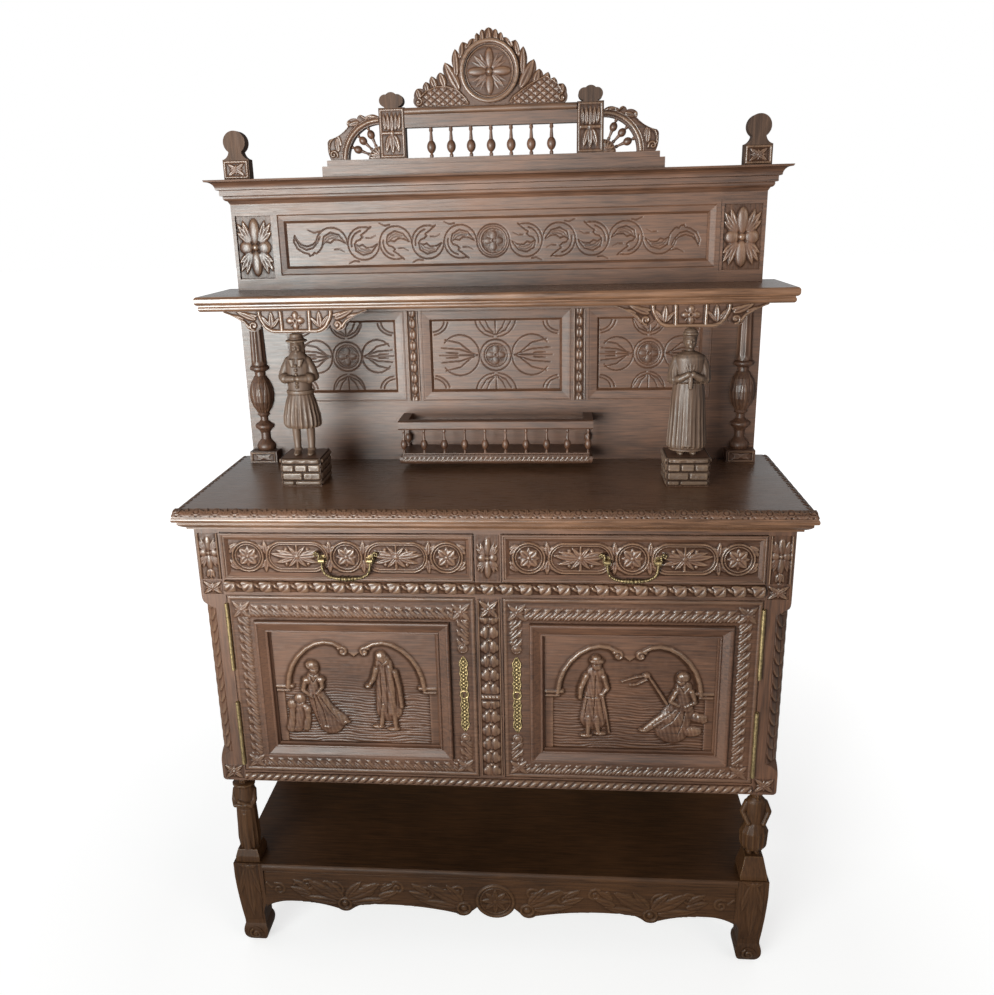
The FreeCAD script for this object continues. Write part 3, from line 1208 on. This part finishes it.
def half_columns():
    """Two split turnings against the outer stiles: block, vase, collar and tapering shaft."""
    r = COLUMN_RADIUS
    z0 = Z_COUNTER + COLUMN_BLOCK_HEIGHT
    h = Z_SHELF - z0
    depth = COLUMN_BLOCK_WIDTH / 2
    block = box(COLUMN_CENTRE - depth, COLUMN_CENTRE + depth, BACK_STAGE_Y - depth, BACK_STAGE_Y, Z_COUNTER, z0)
    runs = [
        (0.70 * r, z0),
        (0.80 * r, z0 + 0.020 * h, 0.70 * r, z0 + 0.045 * h),
        (0.40 * r, z0 + 0.075 * h),
        (0.40 * r, z0 + 0.120 * h),
        (0.60 * r, z0 + 0.145 * h),
        (0.80 * r, z0 + 0.165 * h, 0.60 * r, z0 + 0.185 * h),
        (0.32 * r, z0 + 0.205 * h),
        (0.32 * r, z0 + 0.230 * h),
        (0.54 * r, z0 + 0.245 * h),
        (0.44 * r, z0 + 0.260 * h),
        (0.97 * r, z0 + 0.410 * h, 0.44 * r, z0 + 0.515 * h),
        (0.44 * r, z0 + 0.540 * h),
        (0.60 * r, z0 + 0.550 * h),
        (0.80 * r, z0 + 0.568 * h, 0.58 * r, z0 + 0.586 * h),
        (0.46 * r, z0 + 0.940 * h),
        (0.72 * r, z0 + 0.955 * h),
        (0.72 * r, z0 + h),
    ]
    column = turned(runs, COLUMN_CENTRE, BACK_STAGE_Y, -180.0)
    return pair(fused([block, column]))


# Middle shelf, brackets, frieze and cornice

def middle_shelf():
    """The deep shelf across the back, with a rounded nose and a bead under it."""
    z = Z_FRIEZE
    t = MIDDLE_SHELF_THICKNESS
    runs = [
        (0.40 * t, z),
        (0.02 * t, z - 0.10 * t, 0, z - 0.30 * t),
        (0.08 * t, z - 0.52 * t, 0.24 * t, z - 0.58 * t),
        (0.24 * t, z - 0.66 * t),
        (0.18 * t, z - 0.82 * t, 0.30 * t, z - t),
    ]
    front_y = Y_BACK - MIDDLE_SHELF_DEPTH
    return [moulded_slab(MIDDLE_SHELF_WIDTH / 2, front_y, Y_BACK, runs)]


def bracket_half(side):
    """Half of a bracket's lower edge, from the middle of its foot out to the wing's tip."""
    foot = BRACKET_FOOT_WIDTH / 2
    body = BRACKET_BODY_WIDTH / 2
    volute = BRACKET_VOLUTE
    wing = BRACKET_WING_LENGTH
    h = BRACKET_HEIGHT
    runs = [
        (foot, 0),
        (foot + 0.55 * (body - foot), 0.10 * h, foot + 0.86 * (body - foot), 0.36 * h),
        (body + 0.1 * volute, 0.18 * h, body + volute, 0.10 * h),
        (body + 2.2 * volute, 0.14 * h, body + 2.9 * volute, 0.40 * h),
        (body + 0.62 * wing, 0.66 * h, body + wing, h - 3.0),
    ]
    return [tuple(side * value if i % 2 == 0 else value for i, value in enumerate(run)) for run in runs]


def shelf_brackets():
    """A carved bracket under the shelf over each figure: a bowl with a wing at each side."""
    y0 = Y_BACK - MIDDLE_SHELF_DEPTH + BRACKET_SETBACK + 0.3 * MIDDLE_SHELF_THICKNESS

    def place(x, z):
        return (FIGURE_SPREAD + x, Z_BRACKET + z)

    tip = BRACKET_BODY_WIDTH / 2 + BRACKET_WING_LENGTH
    pieces = []
    for side in (1, -1):
        outline = Outline(*place(0, BRACKET_HEIGHT)).line(*place(0, 0))
        outline.follow(bracket_half(side), place)
        outline.line(*place(side * tip, BRACKET_HEIGHT))
        pieces.append(board_front(outline, y0, y0 + BRACKET_THICKNESS))
    return pair(fused(pieces))


def frieze_frame():
    """The frieze's end blocks, each with a sunk square for carving, and its two rails."""
    half = FRIEZE_WIDTH / 2
    inner = half - FRIEZE_STILE_WIDTH
    block = box(inner, half, FRIEZE_Y, Y_BACK, Z_FRIEZE, Z_CORNICE)
    sink = box(inner + FRIEZE_BLOCK_BORDER, half - FRIEZE_BLOCK_BORDER, FRIEZE_Y, FRIEZE_Y + FRIEZE_BLOCK_SINK,
               Z_FRIEZE + FRIEZE_BLOCK_END, Z_CORNICE - FRIEZE_BLOCK_END)
    block = block.cut(sink)
    top = box(-inner, inner, FRIEZE_Y, Y_BACK, Z_CORNICE - FRIEZE_TOP_RAIL, Z_CORNICE)
    bottom = box(-inner, inner, FRIEZE_Y, Y_BACK, Z_FRIEZE, Z_FRIEZE + FRIEZE_BOTTOM_RAIL)
    return pair(block) + [top, bottom]


def frieze_span():
    """The frieze panel's opening: half width, bottom and top."""
    return (FRIEZE_WIDTH / 2 - FRIEZE_STILE_WIDTH, Z_FRIEZE + FRIEZE_BOTTOM_RAIL, Z_CORNICE - FRIEZE_TOP_RAIL)


def frieze_panel():
    """The long carved panel of the frieze."""
    half, z0, z1 = frieze_span()
    y0 = FRIEZE_Y + FRIEZE_PANEL_SINK
    return [box(-half, half, y0, y0 + FRIEZE_PANEL_THICKNESS, z0, z1)]


def frieze_moulding():
    """The raised frame round the frieze panel."""
    half, z0, z1 = frieze_span()
    front_y = FRIEZE_Y - FRIEZE_MOULDING_PROUD
    back_y = FRIEZE_Y + FRIEZE_PANEL_SINK
    block = box(-half, half, front_y, back_y, z0, z1)
    slope = FRIEZE_MOULDING_LIP + FRIEZE_MOULDING_SLOPE
    step_y = FRIEZE_Y + FRIEZE_PANEL_SINK / 2
    outer = splay(-half, half, z0, z1, front_y, FRIEZE_MOULDING_LIP, step_y, slope)
    inner = splay(-half, half, z0, z1, step_y, slope, back_y, FRIEZE_MOULDING)
    return [block.cut(outer).cut(inner)]


def cornice():
    """The cornice: a deep cove under a thin top edge, a fascia and a small cove."""
    p = CORNICE_PROJECTION
    z = Z_CREST
    h = CORNICE_HEIGHT
    runs = [
        (0, z),
        (0.04 * p, z - 0.08 * h),
        (0.30 * p, z - 0.14 * h, 0.46 * p, z - 0.40 * h),
        (0.60 * p, z - 0.43 * h),
        (0.60 * p, z - 0.64 * h),
        (0.74 * p, z - 0.66 * h),
        (0.76 * p, z - 0.80 * h, 0.90 * p, z - 0.86 * h),
        (p, z - h),
    ]
    return [moulded_slab(FRIEZE_WIDTH / 2 + p, FRIEZE_Y - p, Y_BACK, runs)]


# Crest and finials

def finial_outline(x, z, width, block, neck_width, neck, head_width, head):
    """A flat finial: a square block, a hollow neck and a round head."""
    half = width / 2
    n = neck_width / 2
    round_half = head_width / 2
    z_neck = z + block + neck
    z_top = z_neck + head
    outline = Outline(x - half, z).line(x + half, z).line(x + half, z + block)
    outline.arc(x + n + 0.2 * (half - n), z + block + 0.5 * neck, x + n, z_neck)
    outline.arc(x + round_half, z_neck + 0.48 * head, x, z_top)
    outline.arc(x - round_half, z_neck + 0.48 * head, x - n, z_neck)
    outline.arc(x - n - 0.2 * (half - n), z + block + 0.5 * neck, x - half, z + block)
    return outline


def corner_finials():
    """A flat finial over each end of the frieze."""
    outline = finial_outline(FINIAL_CENTRE, Z_CREST, FINIAL_WIDTH, FINIAL_BLOCK_HEIGHT,
                             FINIAL_NECK_WIDTH, FINIAL_NECK_HEIGHT, FINIAL_HEAD_WIDTH, FINIAL_HEAD_HEIGHT)
    return pair(board_front(outline, CREST_FACE_Y, CREST_FACE_Y + CREST_THICKNESS))


def crest_rails():
    """The crest's stepped base and its top rail, which carries the pediment."""
    half = CREST_BASE_WIDTH / 2
    depth = CREST_BASE_DEPTH / 2
    step = CREST_STEP_INSET / 2
    z_step = Z_CREST + CREST_PLINTH_HEIGHT
    low = box(-half, half, CREST_Y - depth, CREST_Y + depth, Z_CREST, z_step)
    high = box(-half + CREST_STEP_INSET, half - CREST_STEP_INSET, CREST_Y - depth + step, CREST_Y + depth - step,
               z_step, Z_CREST_POST)
    z0 = Z_CREST_POST + CREST_SPINDLE_HEIGHT
    z1 = z0 + CREST_RAIL_HEIGHT
    y0 = CREST_FACE_Y
    y1 = CREST_FACE_Y + CREST_THICKNESS
    inner = CREST_POST_OUTER - CREST_POST_WIDTH
    section = Outline(y1, z0).line(y0, z0).line(y0, z1 - CREST_RAIL_CAP)
    section.arc(y0 - CREST_RAIL_CAP_PROUD, z1 - CREST_RAIL_CAP / 2, y0, z1)
    section.line(y1, z1)
    rail = section.face(side_view(-inner)).extrude(V(2 * inner, 0, 0))
    return [fused([low, high]), rail]


def crest_posts():
    """The two posts of the crest, each with a flat head of three lobes over two small scrolls."""
    centre = CREST_POST_OUTER - CREST_POST_WIDTH / 2
    half = CREST_POST_WIDTH / 2
    z = Z_CREST_POST + CREST_POST_HEIGHT
    block = box(centre - half, centre + half, CREST_FACE_Y, CREST_FACE_Y + CREST_THICKNESS, Z_CREST_POST, z)
    big = CREST_HEAD_RADIUS
    small = CREST_SIDE_LOBE_RADIUS
    foot = CREST_FOOT_LOBE_RADIUS
    lobes = []
    for x, rise, radius in ((0, 1.10 * big, big), (-0.90 * big, 1.15 * small, small), (0.90 * big, 1.15 * small, small),
                            (-0.70 * big, 0.60 * foot, foot), (0.70 * big, 0.60 * foot, foot), (0, 0, 0.70 * big)):
        start = V(centre + x, CREST_FACE_Y, z + rise)
        lobes.append(Part.makeCylinder(radius, CREST_THICKNESS, start, V(0, 1, 0)))
    above = box(centre - 2 * half, centre + 2 * half, CREST_FACE_Y, CREST_FACE_Y + CREST_THICKNESS, z, z + 3 * big)
    return pair(fused([block, fused(lobes).common(above)]))


def crest_spindles():
    """The row of turned spindles between the crest's posts."""
    inner = CREST_POST_OUTER - CREST_POST_WIDTH
    step = 2 * inner / (CREST_SPINDLES + 1.5)
    runs = spindle_runs(Z_CREST_POST, CREST_SPINDLE_HEIGHT, CREST_SPINDLE_RADIUS)
    middle = (CREST_SPINDLES - 1) / 2
    return [turned(runs, (i - middle) * step, CREST_Y) for i in range(CREST_SPINDLES)]


def bulged(start, end, share):
    """An arc from one point to another that bows out to the right of its travel by a share of its length."""
    middle_x = (start[0] + end[0]) / 2 + share * (end[1] - start[1])
    middle_z = (start[1] + end[1]) / 2 - share * (end[0] - start[0])
    return (middle_x, middle_z, end[0], end[1])


def leafy_edge(start, leaves, width, height, bulge):
    """Pointed leaves along an edge, each a tip and the notch after it, as shares of a width and a height."""
    runs = []
    for tip_x, tip_z, notch_x, notch_z in leaves:
        tip = (tip_x * width, tip_z * height)
        notch = (notch_x * width, notch_z * height)
        runs.append(bulged(start, tip, bulge))
        runs.append(bulged(tip, notch, bulge / 2))
        start = notch
    return runs


def crest_pediment():
    """The carved pediment: a ringed medallion, a crown of leaves and a leafy slope to each end."""
    z0 = Z_CREST_POST + CREST_SPINDLE_HEIGHT + CREST_RAIL_HEIGHT
    half = PEDIMENT_WIDTH / 2
    centre_z = z0 + MEDALLION_RISE
    y0 = CREST_Y - PEDIMENT_THICKNESS / 2
    y1 = CREST_Y + PEDIMENT_THICKNESS / 2
    volute_x = half - PEDIMENT_VOLUTE
    end = (half - 0.15 * PEDIMENT_VOLUTE, PEDIMENT_END_HEIGHT)

    def place(x, z):
        return (x, z0 + z)

    edge = leafy_edge(end, PEDIMENT_LEAVES, half, PEDIMENT_HEIGHT, PEDIMENT_LEAF_BULGE)
    last = edge[-1]
    edge.append(bulged((last[2], last[3]), (0, PEDIMENT_HEIGHT), PEDIMENT_LEAF_BULGE))
    outline = Outline(*place(0, 0)).line(*place(volute_x, 0))
    outline.arc(*place(half, PEDIMENT_VOLUTE), *place(*end))
    outline.follow(edge, place)
    right = board_front(outline, y0, y1)
    centre = V(0, y0 - MEDALLION_PROUD, centre_z)
    disc = Part.makeCylinder(MEDALLION_RADIUS, MEDALLION_PROUD, centre, V(0, 1, 0))
    dish = Part.makeCylinder(MEDALLION_RADIUS - MEDALLION_RIM, MEDALLION_PROUD, centre, V(0, 1, 0))
    return [fused([right, mirrored(right), disc.cut(dish)])]


def fan_edge(r):
    """The fan's outer edge from its top to the bend of its foot: leaves along the rim, then a hollow sweep."""
    runs = []
    start = (0, r)
    for tip_x, tip_z, notch_x, notch_z in FAN_LEAVES:
        tip = (tip_x * r, tip_z * r)
        notch = (notch_x * r, notch_z * r)
        runs.append(bulged(start, tip, -FAN_LEAF_BULGE))
        runs.append(bulged(tip, notch, -FAN_LEAF_BULGE))
        start = notch
    shoulder = (0.96 * FAN_FOOT_REACH * r, 0.50 * r)
    runs.append(bulged(start, shoulder, FAN_LEAF_BULGE / 2))
    runs.append(bulged(shoulder, (FAN_FOOT_REACH * r, 0.36 * r), -FAN_LEAF_BULGE))
    return runs


def crest_fans():
    """A quarter-wheel at each end of the crest: hub, leafy rim with a swept foot, and turned spokes."""
    x0 = CREST_POST_OUTER
    z0 = Z_CREST_POST
    y0 = CREST_Y - FAN_THICKNESS / 2
    r = FAN_RADIUS
    rim_radius = r - FAN_RIM
    foot = FAN_FOOT_REACH * r
    diagonal = math.sqrt(0.5)

    def place(x, z):
        return (x0 + x, z0 + z)

    rim = Outline(*place(0, rim_radius)).line(*place(0, r))
    rim.follow(fan_edge(r), place)
    rim.arc(*place(foot, 0.22 * r), *place(0.95 * foot, 0))
    rim.line(*place(rim_radius, 0))
    rim.arc(*place(diagonal * rim_radius, diagonal * rim_radius), *place(0, rim_radius))
    hub = Outline(x0, z0).line(x0 + FAN_HUB_RADIUS, z0)
    hub.arc(x0 + diagonal * FAN_HUB_RADIUS, z0 + diagonal * FAN_HUB_RADIUS, x0, z0 + FAN_HUB_RADIUS)
    hub_board = board_front(hub, y0, y0 + FAN_THICKNESS)
    rim_board = board_front(rim, y0, y0 + FAN_THICKNESS)
    pieces = pair(hub_board) + pair(rim_board)
    spoke = turned(spindle_runs(-rim_radius, rim_radius - FAN_HUB_RADIUS, FAN_SPOKE_RADIUS), 0, 0)
    spoke.rotate(V(0, 0, 0), V(0, 1, 0), 180)
    spoke = spoke.cut(hub_at_origin()).common(wheel_at_origin(rim_radius))
    for i in range(FAN_SPOKES):
        turn = 90.0 * (i + 1) / (FAN_SPOKES + 1)
        placed = spoke.copy()
        placed.rotate(V(0, 0, 0), V(0, 1, 0), turn)
        placed.translate(V(x0, CREST_Y, z0))
        pieces += pair(placed)
    return pieces


def hub_at_origin():
    """The hub's round, about the Y axis, for trimming a spoke's foot."""
    reach = 2 * FAN_THICKNESS
    return Part.makeCylinder(FAN_HUB_RADIUS, reach, V(0, -reach / 2, 0), V(0, 1, 0))


def wheel_at_origin(radius):
    """The rim's inner round, about the Y axis, for trimming a spoke's head."""
    reach = 2 * FAN_THICKNESS
    return Part.makeCylinder(radius, reach, V(0, -reach / 2, 0), V(0, 1, 0))


def mirrored_all(pieces):
    """A set of pieces for the left door or drawer, from the right one's."""
    return [mirrored(piece) for piece in pieces]


def left_handle(pieces):
    """The left drawer's handle pieces, which are the right one's moved across."""
    return [piece.translated(V(-2 * HANDLE_X, 0, 0)) for piece in pieces]


def nodes():
    """Every named piece, or group of like pieces, of the buffet."""
    found = {
        "front_legs": front_legs(),
        "rear_posts": rear_posts(),
        "aprons": aprons(),
        "low_shelf": low_shelf(),
        "back_boards": back_boards(),
        "caryatid_posts": caryatid_posts(),
        "corner_posts": corner_posts(),
        "centre_stiles": centre_stiles(),
        "front_rails": front_rails(),
        "side_rails": side_rails(),
        "side_panels": side_panels(),
        "cabinet_floor": cabinet_floor(),
        "inner_shelf": inner_shelf(),
        "drawer_runners": drawer_runners(),
        "counter_top": counter_top(),
        "hinge_pins": hinge_pins(),
        "back_frame": back_frame(),
        "back_panels": back_panels(),
        "gallery_shelf": gallery_shelf(),
        "gallery_rail": gallery_rail(),
        "gallery_spindles": gallery_spindles(),
        "figure_plinths": figure_plinths(),
        "peasant_man": peasant_man(),
        "peasant_woman": peasant_woman(),
        "half_columns": half_columns(),
        "middle_shelf": middle_shelf(),
        "shelf_brackets": shelf_brackets(),
        "frieze_frame": frieze_frame(),
        "frieze_panel": frieze_panel(),
        "frieze_moulding": frieze_moulding(),
        "cornice": cornice(),
        "corner_finials": corner_finials(),
        "crest_rails": crest_rails(),
        "crest_posts": crest_posts(),
        "crest_spindles": crest_spindles(),
        "crest_pediment": crest_pediment(),
        "crest_fans": crest_fans(),
    }
    right_hand = {
        "door_{}_frame": door_frame(),
        "door_{}_panel": door_panel(),
        "door_{}_moulding": door_moulding(),
        "door_{}_hinges": door_hinges(),
        "door_{}_escutcheon": escutcheon(),
        "door_{}_lock": door_lock(),
        "lock_bolt_{}": lock_bolt(),
        "drawer_{}_front": drawer_front(),
        "drawer_{}_box": drawer_box(),
    }
    handle = {
        "bail_{}": bail(),
        "bail_posts_{}": bail_posts(),
    }
    for name, pieces in right_hand.items():
        found[name.format("right")] = pieces
        found[name.format("left")] = mirrored_all(pieces)
    for name, pieces in handle.items():
        found[name.format("right")] = pieces
        found[name.format("left")] = left_handle(pieces)
    return found


os.makedirs("parts", exist_ok=True)
for node, solids in nodes().items():
    shape = solids[0] if len(solids) == 1 else Part.makeCompound(solids)
    shape.exportStep("parts/" + node + ".step")
